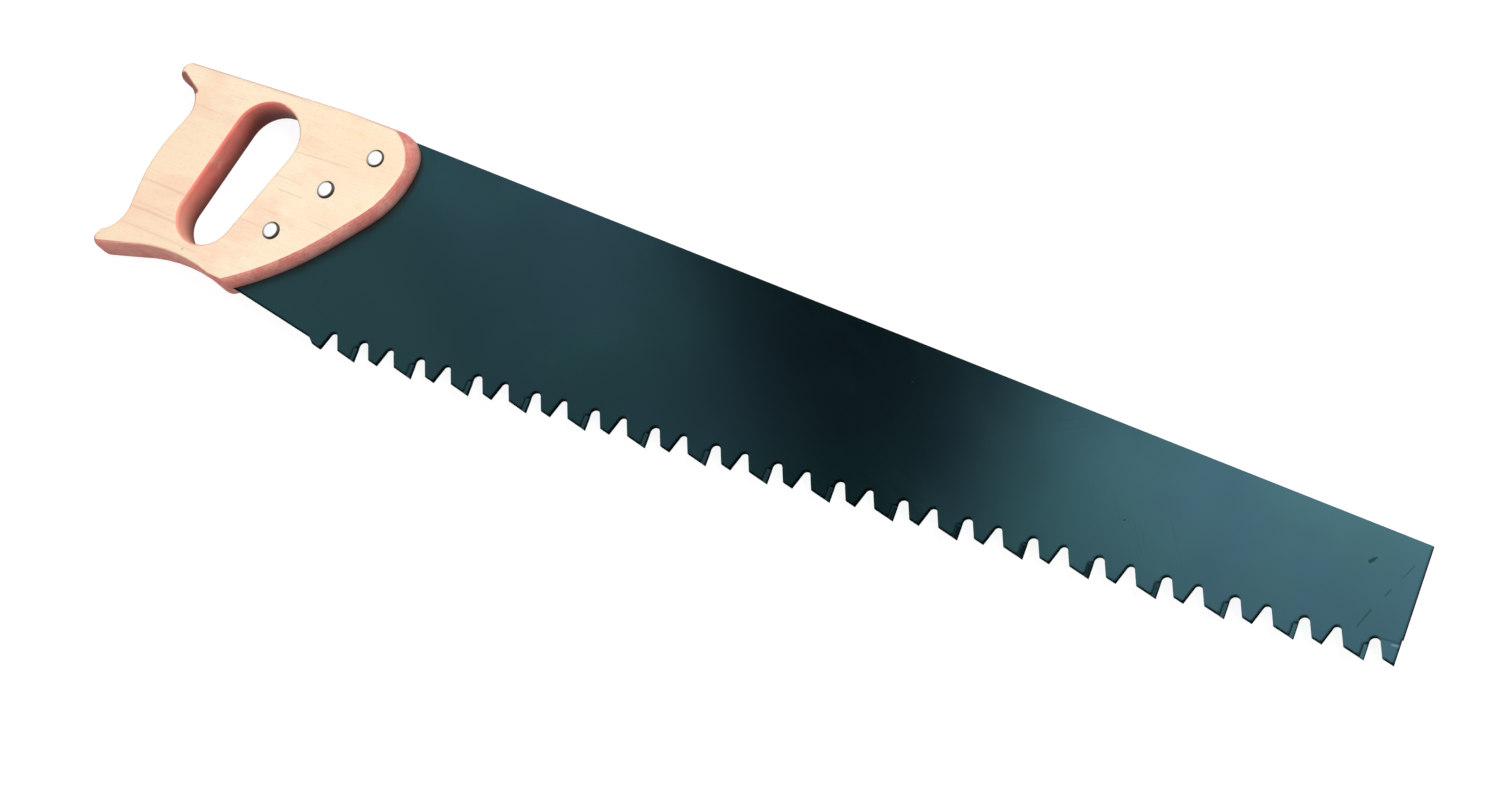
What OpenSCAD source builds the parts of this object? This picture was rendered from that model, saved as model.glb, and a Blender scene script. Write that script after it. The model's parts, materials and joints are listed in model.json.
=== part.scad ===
// Saw for aerated concrete block, lying on its side with the bolt heads up.
// X runs along the tooth line to the toe, Y from the teeth to the back edge, Z up through the thickness.
// Sizes are measured from the first tipped tooth (X) and from the line of the tipped teeth (Y).
// The part's origin is the axis of the middle fastener, on the handle's far face, which is the rest face.

/* [Blade plate] */
// Thickness of the steel plate
plate_thickness = 2; // [1.6:0.1:2.6]
// Width of the blade at the toe
toe_width = 62.4; // [56:0.2:68]
// Angle by which the back edge closes on the tooth line towards the toe
back_taper = 6.15; // [5.9:0.05:6.4]
// Length of blade beyond the face of the last tipped tooth
toe_land = 15.1; // [14:0.1:17]
// Height up to which the toe is ground back behind the last tooth
toe_grind_height = 14.5; // [13.5:0.5:20]
// Depth of that grinding
toe_grind_depth = 0.5; // [0.2:0.1:1]
// Angle of the heel edge to the tooth line
heel_angle = 14.5; // [12:0.5:17]
// Distance from the first tipped tooth back to the lower end of the heel edge
heel_setback = 29.9; // [29:0.1:31]
// Height of the lower end of the heel edge above the tooth line
heel_height = 6.3; // [5.5:0.1:7]

/* [Teeth] */
// Number of tipped teeth
tipped_teeth = 17; // [9:1:20]
// Distance from one tipped tooth to the next
pair_pitch = 35; // [34:0.2:38]
// Distance from a tipped tooth to the plain tooth that follows it
plain_tooth_offset = 13.7; // [13:0.1:15]
// How much shorter the plain teeth are than the tipped ones
plain_tooth_drop = 1.5; // [0.5:0.1:2.5]
// Rounding on the point of the plain tooth at the heel
heel_tooth_radius = 1.2; // [0.4:0.1:1.5]
// Length of the relief behind that tooth
heel_relief_length = 5.4; // [4:0.1:6]
// Slope of the back of every tooth
relief_angle = 16.7; // [12:0.1:20]
// Slope of the heel side of every tooth, down from its gullet
flank_angle = 67; // [62:0.5:72]
// Slope of the toe side of the plain teeth
plain_face_angle = 71.3; // [68:0.1:78]
// Depth of the gullets from the line of the tipped teeth
gullet_depth = 12; // [11:0.1:13]
// Radius at the top of the gullets behind the tipped teeth
tipped_gullet_radius = 2.8; // [2.2:0.1:3.2]
// Radius at the top of the gullets behind the plain teeth
plain_gullet_radius = 2.3; // [1.8:0.1:2.8]

/* [Tooth tips] */
// Length of a hard metal tip along the tooth line
tip_length = 2.2; // [1.8:0.1:2.8]
// Height of a tip and of its seat
tip_height = 7.5; // [5:0.1:8]
// Thickness of a tip at its cutting edge
tip_thickness = 3; // [2.9:0.1:3.6]
// Narrowing of each side of a tip towards its upper end and towards its back
tip_clearance_angle = 1.5; // [0.5:0.1:2]
// Thickness of the braze film between a tip and its seat
braze_film = 0.05; // [0.02:0.01:0.1]

/* [Handle] */
// Thickness of the wood
handle_thickness = 23; // [21:0.5:27]
// Distance from the first tipped tooth back to the handle's nose
nose_setback = 6.6; // [5:0.2:9]
// Height of the nose's upper corner
nose_height = 127.4; // [126.6:0.1:128.4]
// Height at which the nose turns into the slanted front of the cheek
nose_foot_height = 90.4; // [86:0.1:93]
// Distance from the nose back to the bend in the cheek's front
cheek_bend_reach = 51; // [49:0.1:53]
// Height of the bend in the cheek's front
cheek_bend_height = 34.5; // [32.5:0.1:37]
// Distance from the nose back to the cheek's lowest corner
cheek_foot_reach = 81.9; // [80:0.1:83.5]
// Height of the cheek's lowest corner
cheek_foot_height = 17.9; // [16.5:0.1:18.5]
// Distance from the nose back to the middle of the arched underside
arch_reach = 116.8; // [113:0.1:121]
// Height of the arched underside
arch_height = 31.6; // [30:0.1:32.6]
// Distance from the nose back to the end of the lower horn
lower_horn_reach = 167.3; // [165:0.1:173]
// Height of the lower horn's underside
lower_horn_height = 19.5; // [18.5:0.1:21]
// Depth of the lower horn's end
lower_horn_depth = 8.9; // [8.6:0.1:10.5]
// Distance from the nose back to the back of the grip
grip_reach = 152.4; // [150:0.1:154]
// Height of the hollow over the lower horn
lower_hollow_height = 34.6; // [33.5:0.1:38]
// Height of the bulge at the back of the grip
grip_bulge_height = 76.3; // [73:0.1:80]
// Distance from the nose back to the hollow under the upper horn
upper_hollow_reach = 135.1; // [134:0.1:137]
// Height of the hollow under the upper horn
upper_hollow_height = 117.7; // [115:0.1:118.5]
// Distance from the nose back to the end of the upper horn
upper_horn_reach = 157; // [155:0.1:162]
// Height of the upper horn's top
upper_horn_height = 136.2; // [135:0.1:138]
// Depth of the upper horn's end
upper_horn_depth = 10.7; // [9.6:0.1:12]
// Distance from the nose back to the crest of the top edge
crest_reach = 50; // [46:0.1:56]
// Height of the crest of the top edge
crest_height = 130.5; // [130:0.1:131.4]

/* [Handle curves] */
// Radius of the nose's upper corner
nose_radius = 16; // [10:1:18]
// Radius of the turn from the nose into the cheek's front
nose_foot_radius = 56; // [40:1:60]
// Radius of the bend in the cheek's front
cheek_bend_radius = 190; // [120:5:200]
// Radius of the cheek's lowest corner
cheek_foot_radius = 5; // [3:0.5:8]
// Radius of the arched underside
arch_radius = 90; // [60:5:95]
// Radius under the end of the lower horn
lower_horn_foot_radius = 4.2; // [3:0.1:5]
// Radius over the end of the lower horn
lower_horn_top_radius = 5; // [3:0.5:7]
// Radius of the hollow over the lower horn
lower_hollow_radius = 19; // [14:1:24]
// Radius of the bulge at the back of the grip
grip_bulge_radius = 88; // [70:1:95]
// Radius of the hollow under the upper horn
upper_hollow_radius = 14; // [10:1:18]
// Radius under the end of the upper horn
upper_horn_foot_radius = 4.3; // [3:0.1:5]
// Radius over the end of the upper horn
upper_horn_top_radius = 6; // [4:0.5:7]
// Radius of the crest of the top edge
crest_radius = 400; // [300:10:450]

/* [Handle edges] */
// Width of the rounding on the grip's edges, seen from the side
edge_width = 1.8; // [1:0.1:2.4]
// Depth of the rounding on the grip's edges
edge_depth = 2.5; // [1.5:0.1:4]
// Width of the bevel on the cheek's front and the horns, seen from the side
bevel_width = 4; // [2.6:0.1:4.2]
// Depth of the bevel on the cheek's front and the horns
bevel_depth = 8; // [4:0.1:9]
// How far the lower horn's edges go from the rounding to the full bevel
lower_horn_bevel_share = 0.85; // [0.5:0.05:1]

/* [Hand hole] */
// Distance from the nose back to the middle of the hole's upper end
hole_top_reach = 89.3; // [88.5:0.1:90.5]
// Height of the middle of the hole's upper end
hole_top_height = 104; // [102:0.1:105]
// Radius of the hole's upper end
hole_top_radius = 19.7; // [18:0.1:20]
// Distance from the nose back to the middle of the hole's lower end
hole_foot_reach = 105.2; // [104:0.1:106]
// Height of the middle of the hole's lower end
hole_foot_height = 52.7; // [51:0.1:54]
// Radius of the hole's lower end
hole_foot_radius = 16.5; // [15:0.1:17]

/* [Tang] */
// Distance from the nose back to where the blade's back edge goes into the wood
tang_shoulder_reach = 6.8; // [6.2:0.1:7.4]
// Distance from the nose back to where the tang's top edge has come down to its full depth
tang_step_reach = 19.4; // [16:0.2:22]
// Wood left between the tang and the handle's top edge
tang_top_wood = 8; // [6:0.5:10]
// Wood left between the tang and the hand hole
tang_hole_wood = 11; // [9:0.5:12]
// Play of the tang between the two sides of its kerf, on each side
kerf_side_play = 0.1; // [0.05:0.05:0.2]
// Play of the tang in its kerf, along the plate
kerf_end_play = 0.25; // [0.1:0.05:0.3]

/* [Fasteners] */
// Distance from the nose back to the upper fastener
upper_fastener_reach = 21.1; // [20:0.1:23]
// Height of the upper fastener
upper_fastener_height = 108.4; // [106:0.1:110]
// Distance from the nose back to the middle fastener
middle_fastener_reach = 42; // [40:0.1:44]
// Height of the middle fastener
middle_fastener_height = 84.4; // [82:0.1:87]
// Distance from the nose back to the lower fastener
lower_fastener_reach = 63.6; // [62:0.1:65]
// Height of the lower fastener
lower_fastener_height = 54.4; // [52:0.1:57]
// Diameter of the bolt heads
bolt_head_diameter = 10; // [9:0.1:12]
// Diameter of the flat middle of the bolt heads
bolt_head_flat = 7.3; // [6:0.1:8]
// Height of a bolt head at its rim
bolt_head_rim = 1; // [0.8:0.1:1.4]
// Full height of a bolt head
bolt_head_height = 1.7; // [1.6:0.1:2.4]
// Depth of the seat that a bolt head sits in
bolt_seat_depth = 0.8; // [0.4:0.1:1.2]
// Height of the dome on the flat middle of a bolt head
bolt_head_dome = 0.3; // [0.2:0.1:0.4]
// Diameter of the bolts' shanks
shank_diameter = 5; // [4:0.1:5.5]
// Diameter of the nuts' flanges
nut_flange_diameter = 11; // [10:0.1:12]
// Thickness of the nuts' flanges
nut_flange_thickness = 1.6; // [1.4:0.1:2]
// Diameter of the nuts' barrels
nut_barrel_diameter = 7; // [6.8:0.1:8]
// Length of a nut's barrel under its flange
nut_barrel_length = 6.5; // [5:0.1:6.8]
// How far the nuts lie below the wood
nut_recess = 0.3; // [0.1:0.1:0.6]
// Width of the driver slot in a nut
nut_slot_width = 1.2; // [0.8:0.1:1.6]
// Depth of the driver slot in a nut
nut_slot_depth = 0.8; // [0.6:0.1:1]
// Bevel on the outer edge of a nut's flange
nut_edge_break = 0.3; // [0.1:0.1:0.5]
// Play of a fastener in the holes of the wood and the plate, all round
fastener_play = 0.15; // [0.05:0.05:0.25]
// Play of a bolt's shank in its nut, all round
thread_play = 0.05; // [0.02:0.01:0.1]

/* [Hidden] */
// How far a cutting shape runs past the surface that it opens
past = 1;
// How far a straight side runs inside the arc that it meets, so that the two cross cleanly
blend = 0.04;
// Fineness of true circles
$fn = 96;
// Steps in the rounding of a wooden edge
edge_steps = 5;
// How far the rounding is carried on through the face, as a share of its last step
edge_carry = 0.2;
// Turn of the outline from one point of a wooden corner to the next
corner_turn = 9;
// Largest step of the outline along a flat wooden curve
corner_step = 9;
// Share of a side of the outline that the arcs at its two ends may take up
arc_room = 0.99;

plate_middle = handle_thickness / 2;
toe_x = (tipped_teeth - 1) * pair_pitch + toe_land;
nose_x = -nose_setback;
shoulder_x = nose_x - tang_shoulder_reach;
heel_tooth = [plain_tooth_offset - pair_pitch, plain_tooth_drop];
fasteners = [
  [nose_x - upper_fastener_reach, upper_fastener_height],
  [nose_x - middle_fastener_reach, middle_fastener_height],
  [nose_x - lower_fastener_reach, lower_fastener_height]
];
origin = fasteners[1];
hole_top = [nose_x - hole_top_reach, hole_top_height];
hole_foot = [nose_x - hole_foot_reach, hole_foot_height];
head_z = handle_thickness - bolt_seat_depth;
nut_seat_z = nut_recess + nut_flange_thickness;
nut_end_z = nut_seat_z + nut_barrel_length;
// Wood or metal between the bottom of a nut's driver slot and the end of its threaded hole
nut_web = 0.4;
shank_end_z = nut_recess + nut_slot_depth + nut_web + thread_play;

function two_digits(i) = i < 10 ? str("0", i) : str(i);

// Height of the blade's back edge at a place along the tooth line
function back_y(x) = toe_width + tan(back_taper) * (toe_x - x);
// Height of the wood's top edge between the nose and the crest
function nose_top_y(x) = nose_height + (nose_x - x) * (crest_height - nose_height) / crest_reach;
// Where a line n.p = d meets the line through q with a slope
function on_slope(n, d, q, slope) =
  let (x = (d - n.y * (q.y - slope * q.x)) / (n.x + n.y * slope))
  [x, q.y + slope * (x - q.x)];
// Point on a circle
function on_circle(c, r, angle) = c + r * [cos(angle), sin(angle)];
// Direction of the line that touches two circles on the side towards the nose, as the angle of its normal
function touch_angle(c1, r1, c2, r2, side) =
  let (d = c2 - c1)
  atan2(d.y, d.x) + side * acos((r1 - r2) / norm(d));

// Middle of the round top of the gullet that follows a tooth
function gullet_middle(tooth, face_angle, r) =
  let (y = gullet_depth - r)
  [tooth.x + (r + (y - tooth.y) * cos(face_angle)) / sin(face_angle), y];

// Cut between one tooth's point and the next one's
module gullet(tooth, face_angle, r, next_tooth) {
  middle = gullet_middle(tooth, face_angle, r);
  flank = [sin(flank_angle), cos(flank_angle)];
  flank_foot = on_slope(flank, middle * flank + r, next_tooth, -tan(relief_angle));
  translate(middle)
    circle(r);
  polygon([
    [tooth.x, -past],
    tooth,
    on_circle(middle, r - blend, face_angle + 90),
    middle,
    on_circle(middle, r - blend, 90 - flank_angle),
    flank_foot,
    next_tooth,
    [next_tooth.x, -past]
  ]);
}

// Seat for a tip in the front face of a tipped tooth
module tip_seat(x) {
  translate([x - tip_length - braze_film, -past])
    square([tip_length + braze_film + past, tip_height + braze_film + past]);
}

// Corners of the tang inside the wood, from the blade's back edge round to its heel edge.
// The play moves them outwards.
function tang_points(play) =
  let (rear_angle = touch_angle(hole_top, hole_top_radius, hole_foot, hole_foot_radius, 1),
       rear = [cos(rear_angle), sin(rear_angle)],
       rear_reach = hole_top * rear + hole_top_radius + tang_hole_wood - play,
       step_x = nose_x - tang_step_reach,
       step = [step_x, nose_top_y(step_x) - tang_top_wood + play],
       heel = [-heel_setback, heel_height - play])
  [
    [shoulder_x, back_y(shoulder_x) + play],
    step,
    on_slope(rear, rear_reach, step, (nose_height - crest_height) / crest_reach),
    on_slope(rear, rear_reach, heel, -tan(heel_angle))
  ];

// Side view of the plate before its teeth and bolt holes are cut
module plate_blank() {
  polygon(concat(
    [
      [-heel_setback, heel_height],
      [heel_tooth.x - heel_relief_length, heel_tooth.y + tan(relief_angle) * heel_relief_length],
      heel_tooth,
      [heel_tooth.x, 0],
      [toe_x - toe_grind_depth, 0],
      [toe_x - toe_grind_depth, toe_grind_height],
      [toe_x, toe_grind_height],
      [toe_x, toe_width]
    ],
    tang_points(0)
  ));
}

// Side view of the kerf in the wood: the tang with play round it, open at the cheek's front
module kerf() {
  polygon(concat(
    [
      [-heel_setback, heel_height - kerf_end_play],
      [0, heel_height - kerf_end_play],
      [0, back_y(shoulder_x) + kerf_end_play]
    ],
    tang_points(kerf_end_play)
  ));
}

module tooth_cuts() {
  for (i = [0:tipped_teeth - 1]) {
    tipped = [i * pair_pitch, 0];
    plain = [tipped.x + plain_tooth_offset, plain_tooth_drop];
    last = i == tipped_teeth - 1;
    // The toe cuts off the last plain tooth, so its relief is drawn on to the toe
    point = last ? [toe_x, plain.y - tan(relief_angle) * (toe_x - plain.x)] : plain;
    gullet(tipped, 90, tipped_gullet_radius, point);
    tip_seat(tipped.x);
    if (!last)
      gullet(plain, plain_face_angle, plain_gullet_radius, [tipped.x + pair_pitch, 0]);
  }
}

module blade() {
  color([0.15, 0.26, 0.29])
    translate([0, 0, plate_middle - plate_thickness / 2])
      linear_extrude(plate_thickness)
        difference() {
          plate_blank();
          tooth_cuts();
          heel_tooth_cuts();
          for (p = fasteners)
            translate(p)
              circle(d = shank_diameter + 2 * fastener_play);
        }
}

// Gullet before the first tipped tooth, and the rounded point of the plain tooth at the heel
module heel_tooth_cuts() {
  // Half of the angle between the tooth's two sides, and the direction that halves it
  half = (180 - relief_angle - plain_face_angle) / 2;
  halving = plain_face_angle + half;
  reach = heel_tooth_radius - blend;
  middle = on_circle(heel_tooth, reach / sin(half), halving);
  gullet(heel_tooth, plain_face_angle, plain_gullet_radius, [0, 0]);
  difference() {
    polygon([
      on_circle(heel_tooth, past, halving + 180),
      on_circle(heel_tooth, reach / tan(half), plain_face_angle),
      middle,
      on_circle(heel_tooth, reach / tan(half), 180 - relief_angle)
    ]);
    translate(middle)
      circle(heel_tooth_radius);
  }
}

// Tip in the seat of one tipped tooth, narrower to its upper end and to its back
module carbide_tip(number) {
  face_x = (number - 1) * pair_pitch;
  color([0.42, 0.45, 0.47])
    translate([face_x, 0, plate_middle])
      intersection() {
        translate([0, 0, -tip_thickness])
          linear_extrude(2 * tip_thickness)
            polygon([
              [0, 0],
              [0, tip_height],
              [-tip_length, tip_height],
              [-tip_length, tan(relief_angle) * tip_length]
            ]);
        tip_sides();
      }
}

// Wedge between the two ground sides of a tip: both close in by the clearance angle upwards and backwards,
// so the wedge's own direction of narrowing lies halfway between the two
module tip_sides() {
  slope = tan(tip_clearance_angle) * sqrt(2);
  span = (tip_height + tip_length) * sqrt(2);
  half = tip_thickness / 2;
  rotate([0, 0, 45])
    translate([-span / 2, 0, 0])
      rotate([90, 0, 90])
        linear_extrude(span)
          polygon([
            [-past, -half - past * slope],
            [span, span * slope - half],
            [span, half - span * slope],
            [-past, half + past * slope]
          ]);
}

// Corners of the wood's outline, anticlockwise from the nose.
// Each has its place, its radius, and how far its edge goes from the grip's rounding (0) to the bevel (1).
handle_corners = [
  [[nose_x, nose_height], nose_radius, 1],
  [[nose_x - crest_reach, crest_height], crest_radius, 0],
  [[nose_x - upper_horn_reach, upper_horn_height], upper_horn_top_radius, 1],
  [[nose_x - upper_horn_reach, upper_horn_height - upper_horn_depth], upper_horn_foot_radius, 1],
  [[nose_x - upper_hollow_reach, upper_hollow_height], upper_hollow_radius, 0],
  [[nose_x - grip_reach, grip_bulge_height], grip_bulge_radius, 0],
  [[nose_x - grip_reach, lower_hollow_height], lower_hollow_radius, 0],
  [[nose_x - lower_horn_reach, lower_horn_height + lower_horn_depth],
   lower_horn_top_radius, lower_horn_bevel_share],
  [[nose_x - lower_horn_reach, lower_horn_height], lower_horn_foot_radius, lower_horn_bevel_share],
  [[nose_x - arch_reach, arch_height], arch_radius, 0],
  [[nose_x - cheek_foot_reach, cheek_foot_height], cheek_foot_radius, 1],
  [[nose_x - cheek_bend_reach, cheek_bend_height], cheek_bend_radius, 1],
  [[nose_x, nose_foot_height], nose_foot_radius, 1]
];

function heading(v) = atan2(v.y, v.x);
// Direction to the left of a heading, which is into the wood
function left(angle) = [-sin(angle), cos(angle)];
// Item of a list that closes on itself
function around(list, i) = list[(i + len(list)) % len(list)];
function side_after(corners, i) = around(corners, i + 1)[0] - around(corners, i)[0];
// Change of heading at a corner, positive to the left
function turn_at(corners, i) =
  let (t = heading(side_after(corners, i)) - heading(side_after(corners, i - 1)))
  t > 180 ? t - 360 : t < -180 ? t + 360 : t;
// Length that a corner's arc takes up of each of its sides
function reach(corners, i) = around(corners, i)[1] * tan(abs(turn_at(corners, i)) / 2);
// How much of a side's length there is for each part that the two arcs on it would take up
function room_after(corners, i) =
  norm(side_after(corners, i)) / (reach(corners, i) + reach(corners, i + 1));
// Number of steps in an arc, so that none turns or runs too far
function arc_steps(r, angle) =
  max(1, ceil(abs(angle) / corner_turn), ceil(abs(angle) * PI / 180 * r / corner_step));

// Points of the arc that rounds one corner: place, direction into the wood, share of bevel.
// An arc that would run into the next one is made smaller.
function corner_points(corners, i) =
  let (here = corners[i],
       r = here[1] * min(1, arc_room * room_after(corners, i), arc_room * room_after(corners, i - 1)),
       heading_in = heading(side_after(corners, i - 1)),
       angle = turn_at(corners, i),
       start = on_circle(here[0], r * tan(abs(angle) / 2), heading_in + 180),
       middle = start + sign(angle) * r * left(heading_in),
       steps = arc_steps(r, angle))
  [for (k = [0:steps])
    let (into = left(heading_in + angle * k / steps))
    [middle - sign(angle) * r * into, into, here[2]]];

// Points of one end of the hand hole, with the directions out of the hole
function hole_end_points(c, r, from, to) =
  let (steps = arc_steps(r, to - from))
  [for (k = [0:steps])
    let (angle = from + (to - from) * k / steps)
    [on_circle(c, r, angle), [cos(angle), sin(angle)], 0]];

// Column a little taller than the handle, whose outline moves along its directions as it nears each face
module rounded_column(outline) {
  n = len(outline);
  // Quarter of an ellipse from the wall to the face, as shares of its width and depth
  arc = [for (k = [0:edge_steps]) [1 - cos(k * 90 / edge_steps), 1 - sin(k * 90 / edge_steps)]];
  // The same curve carried on a little through the face
  beyond = arc[edge_steps] + (arc[edge_steps] - arc[edge_steps - 1]) * edge_carry;
  // Rings from below the far face up: share of the width, height of the face, share of the depth
  rings = concat(
    [[beyond.x, -past, 0], [beyond.x, 0, beyond.y]],
    [for (k = [edge_steps - 1:-1:0]) [arc[k].x, 0, arc[k].y]],
    [for (k = [0:edge_steps - 1]) [arc[k].x, handle_thickness, -arc[k].y]],
    [[beyond.x, handle_thickness, -beyond.y], [beyond.x, handle_thickness + past, 0]]
  );
  points = [
    for (ring = rings)
      for (p = outline)
        let (width = edge_width + p[2] * (bevel_width - edge_width),
             depth = edge_depth + p[2] * (bevel_depth - edge_depth),
             place = p[0] + p[1] * width * ring[0])
        [place.x, place.y, ring[1] + depth * ring[2]]
  ];
  faces = concat(
    [[for (i = [0:n - 1]) i]],
    [for (j = [0:len(rings) - 2])
      for (i = [0:n - 1])
        [j * n + i, (j + 1) * n + i, (j + 1) * n + (i + 1) % n, j * n + (i + 1) % n]],
    [[for (i = [n - 1:-1:0]) (len(rings) - 1) * n + i]]
  );
  polyhedron(points, faces, convexity = 6);
}

module hand_hole() {
  front = touch_angle(hole_top, hole_top_radius, hole_foot, hole_foot_radius, 1);
  back = touch_angle(hole_top, hole_top_radius, hole_foot, hole_foot_radius, -1);
  rounded_column(concat(
    hole_end_points(hole_top, hole_top_radius, front, back + 360),
    hole_end_points(hole_foot, hole_foot_radius, back, front)
  ));
}

// Stepped hole through the wood for one bolt and its nut
module fastener_hole() {
  head = bolt_head_diameter / 2 + fastener_play;
  shank = shank_diameter / 2 + fastener_play;
  barrel = nut_barrel_diameter / 2 + fastener_play;
  flange = nut_flange_diameter / 2 + fastener_play;
  rotate_extrude()
    polygon([
      [0, -past],
      [flange, -past],
      [flange, nut_seat_z],
      [barrel, nut_seat_z],
      [barrel, nut_end_z + fastener_play],
      [shank, nut_end_z + fastener_play],
      [shank, head_z],
      [head, head_z],
      [head, handle_thickness + past],
      [0, handle_thickness + past]
    ]);
}

module handle() {
  color([0.95, 0.84, 0.70])
    difference() {
      intersection() {
        rounded_column([for (i = [0:len(handle_corners) - 1]) each corner_points(handle_corners, i)]);
        translate([nose_x - lower_horn_reach - past, 0, 0])
          cube([lower_horn_reach + 2 * past, upper_horn_height + past, handle_thickness]);
      }
      hand_hole();
      translate([0, 0, plate_middle - plate_thickness / 2 - kerf_side_play])
        linear_extrude(plate_thickness + 2 * kerf_side_play)
          kerf();
      for (p = fasteners)
        translate(p)
          fastener_hole();
    }
}

module handle_bolt(number) {
  head = bolt_head_diameter / 2;
  flat = bolt_head_flat / 2;
  top = head_z + bolt_head_height;
  dome_foot = top - bolt_head_dome;
  dome_radius = (flat * flat + bolt_head_dome * bolt_head_dome) / (2 * bolt_head_dome);
  color([0.76, 0.77, 0.78])
    translate(fasteners[number - 1])
      rotate_extrude()
        intersection() {
          polygon([
            [0, shank_end_z],
            [shank_diameter / 2, shank_end_z],
            [shank_diameter / 2, head_z],
            [head, head_z],
            [head, head_z + bolt_head_rim],
            [flat, dome_foot],
            [flat, top],
            [0, top]
          ]);
          union() {
            translate([0, shank_end_z])
              square([head + past, dome_foot - shank_end_z]);
            translate([0, top - dome_radius])
              circle(dome_radius);
          }
        }
}

module handle_nut(number) {
  flange = nut_flange_diameter / 2;
  bore_floor_z = nut_recess + nut_slot_depth + nut_web;
  color([0.68, 0.69, 0.70])
    translate(fasteners[number - 1])
      difference() {
        rotate_extrude()
          polygon([
            [0, nut_recess],
            [flange - nut_edge_break, nut_recess],
            [flange, nut_recess + nut_edge_break],
            [flange, nut_seat_z],
            [nut_barrel_diameter / 2, nut_seat_z],
            [nut_barrel_diameter / 2, nut_end_z],
            [shank_diameter / 2 + thread_play, nut_end_z],
            [shank_diameter / 2 + thread_play, bore_floor_z],
            [0, bore_floor_z]
          ]);
        translate([-flange - past, -nut_slot_width / 2, nut_recess - past])
          cube([2 * (flange + past), nut_slot_width, nut_slot_depth + past]);
      }
}

translate([-origin.x, -origin.y, 0]) {
  blade();
  handle();
  for (i = [1:tipped_teeth])
    carbide_tip(i);
  for (i = [1:len(fasteners)])
    handle_bolt(i);
  for (i = [1:len(fasteners)])
    handle_nut(i);
}
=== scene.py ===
"""Aerated concrete saw, dressed over its CAD frame and set on a pale studio floor.

All sizes are in metres in the part's own frame: X runs along the tooth line to the toe, Y from the
teeth to the blade's back edge, and Z up through the thickness to the face with the bolt heads.
"""

import json
import logging
import math
from dataclasses import dataclass, field
from enum import Enum
from typing import Sequence, Union

import bpy
from mathutils import Euler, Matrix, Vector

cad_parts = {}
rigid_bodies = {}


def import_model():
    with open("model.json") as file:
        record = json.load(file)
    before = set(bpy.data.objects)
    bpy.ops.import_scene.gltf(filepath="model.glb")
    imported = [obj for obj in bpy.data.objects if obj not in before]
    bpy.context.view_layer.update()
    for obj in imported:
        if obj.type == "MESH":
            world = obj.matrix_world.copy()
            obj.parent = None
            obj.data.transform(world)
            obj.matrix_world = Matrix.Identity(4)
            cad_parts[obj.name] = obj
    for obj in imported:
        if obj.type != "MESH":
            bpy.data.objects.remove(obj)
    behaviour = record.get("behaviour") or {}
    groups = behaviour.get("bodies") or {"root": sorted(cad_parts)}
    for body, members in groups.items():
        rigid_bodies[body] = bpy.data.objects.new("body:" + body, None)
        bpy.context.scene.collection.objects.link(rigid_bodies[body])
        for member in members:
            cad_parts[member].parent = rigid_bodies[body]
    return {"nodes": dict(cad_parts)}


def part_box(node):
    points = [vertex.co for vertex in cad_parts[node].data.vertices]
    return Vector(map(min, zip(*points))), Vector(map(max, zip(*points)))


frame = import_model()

log = logging.getLogger("saw")

Socket = bpy.types.NodeSocket
Settings = dict[str, object]
Inputs = dict[Union[str, int], object]
Number = Union[float, "Value"]
Colour = tuple[float, float, float]
Triple = tuple[float, float, float]
Point = tuple[float, float]
# What gives 0 and what gives 1; the first may be the larger of the two
Span = tuple[float, float]
# A straight mark: its two ends, and how far it reaches to each side
Mark = tuple[Point, Point, float]

WHITE: Colour = (1.0, 1.0, 1.0)
# Turn that lays X along the wood's grain and the blade's back edge, in degrees
GRAIN_TURN = 6.15


class Arith(Enum):
    """Operations of a Math node that the materials use."""

    ADD = "ADD"
    SUBTRACT = "SUBTRACT"
    MULTIPLY = "MULTIPLY"
    DIVIDE = "DIVIDE"
    POWER = "POWER"
    MINIMUM = "MINIMUM"
    MAXIMUM = "MAXIMUM"
    ABSOLUTE = "ABSOLUTE"
    FRACTION = "FRACT"


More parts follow.
